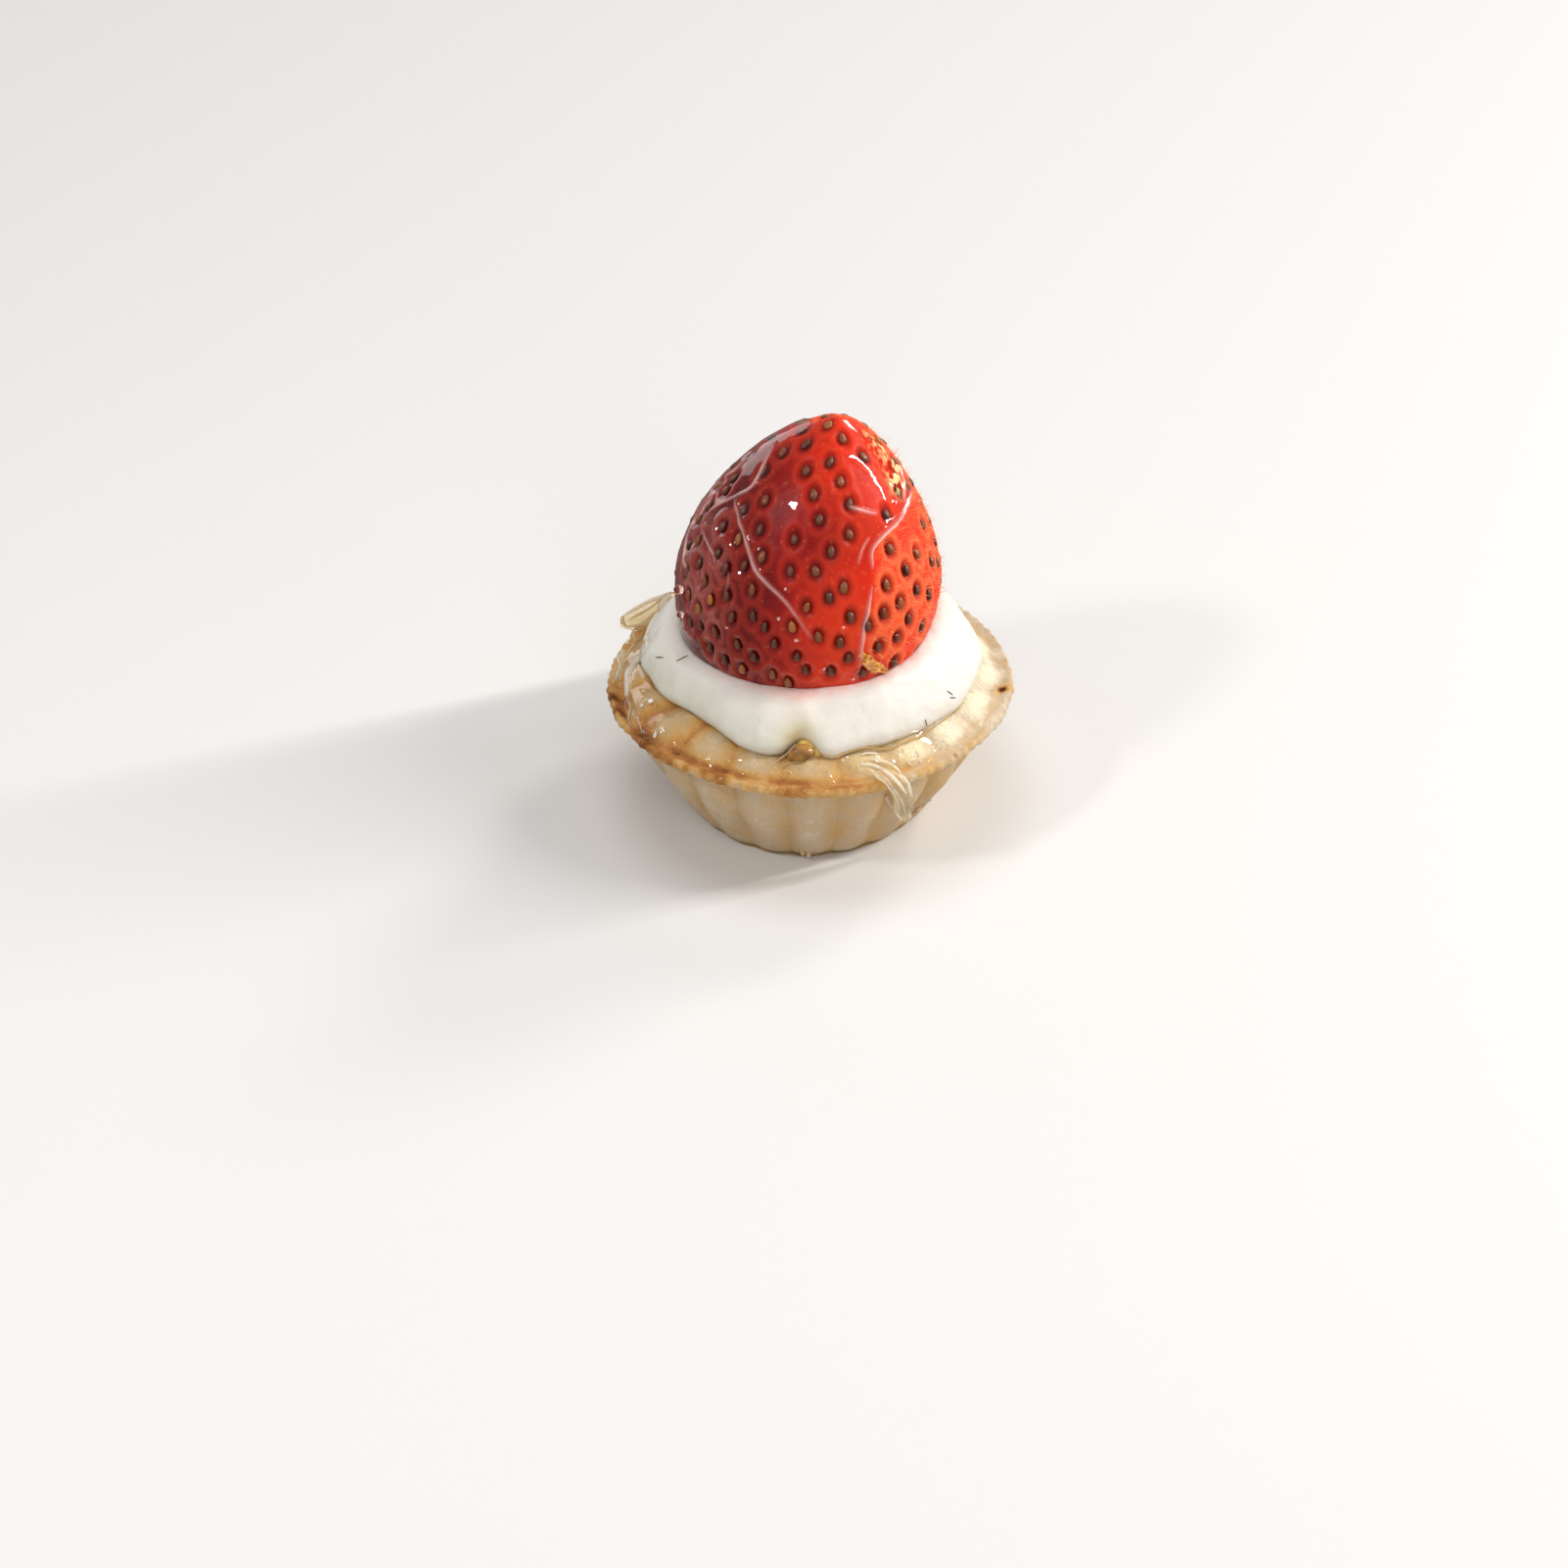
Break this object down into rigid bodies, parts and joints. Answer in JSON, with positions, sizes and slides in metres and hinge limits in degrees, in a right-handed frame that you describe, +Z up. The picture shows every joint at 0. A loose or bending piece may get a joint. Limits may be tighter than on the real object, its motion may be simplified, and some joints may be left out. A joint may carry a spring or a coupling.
{
  "type": "strawberry tart",
  "caption": "Small round fluted pastry shell filled with white cream, with one whole glazed strawberry standing tip up in the middle.",
  "frame": {"origin": "middle of the flat base of the pastry shell, on the surface it rests on", "axes": "+Z is up, towards the strawberry's tip; -Y faces the viewer of the picture, and +X is to that viewer's right"},
  "size_m": [0.0486, 0.0502, 0.0514],
  "materials": {
    "crust": "baked shortcrust pastry, pale and dull with a golden brown lip",
    "cream": "smooth set cream, soft sheen",
    "strawberry": "ripe strawberry skin under clear glaze",
    "glaze": "clear amber fruit glaze, wet"
  },
  "bodies": {
    "root": {"crust": "crust", "cream": "cream", "strawberry": "strawberry", "glaze_drip": "glaze", "glaze_shard": "glaze"}
  },
  "joints": []
}
